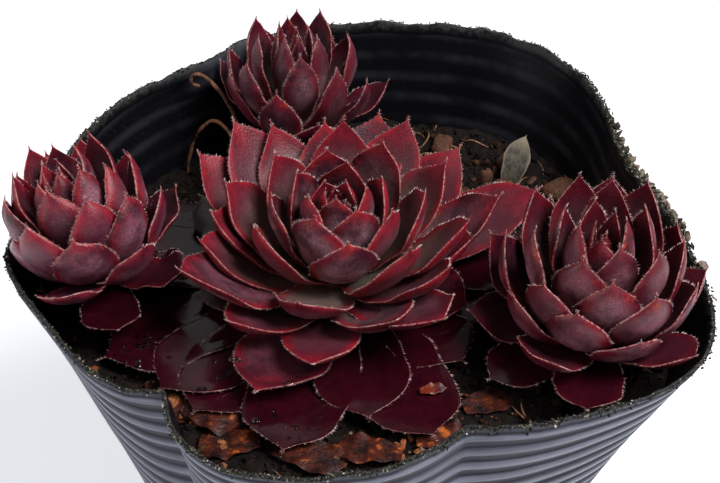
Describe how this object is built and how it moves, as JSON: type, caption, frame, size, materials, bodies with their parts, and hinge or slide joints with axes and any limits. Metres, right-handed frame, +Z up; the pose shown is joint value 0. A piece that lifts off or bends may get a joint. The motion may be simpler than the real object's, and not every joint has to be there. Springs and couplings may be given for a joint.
{
  "type": "potted houseleek",
  "caption": "Houseleek: a large dark red rosette of pointed fleshy leaves with small offsets, in a soft black film nursery pot filled with compost.",
  "frame": {"origin": "centre of the pot's flat underside", "axes": "+Z up, -Y towards the low front of the rim, +X to the right seen from the front"},
  "size_m": [0.1059, 0.1029, 0.1064],
  "materials": {
    "film": "black satin polyethylene film with fine horizontal ribs",
    "compost": "dark loose peat and bark compost",
    "leaf": "fleshy leaf, satin, dark red with a grey bloom and pale hairy margin",
    "root": "matt pale brown runner",
    "dry_runner": "matt dry orange-brown fibre",
    "bark": "matt rough orange-brown bark",
    "dry_leaf": "matt dry papery grey-tan leaf"
  },
  "bodies": {
    "root": {"pot": "film", "soil": "compost", "rosette_mother": "leaf", "rosette_left": "leaf", "rosette_right": "leaf", "rosette_back": "leaf", "stolon_left": "root", "stolon_right": "root", "stolon_back": "root", "dry_runner_curl": "dry_runner", "dry_runner_arch": "dry_runner", "bark_chip_1": "bark", "bark_chip_2": "bark", "bark_chip_3": "bark", "bark_chip_4": "bark", "bark_chip_5": "bark", "bark_chip_6": "bark", "bark_chip_7": "bark", "bark_chip_8": "bark", "bark_chip_9": "bark", "dry_leaf": "dry_leaf", "fallen_leaf": "leaf"}
  },
  "joints": []
}
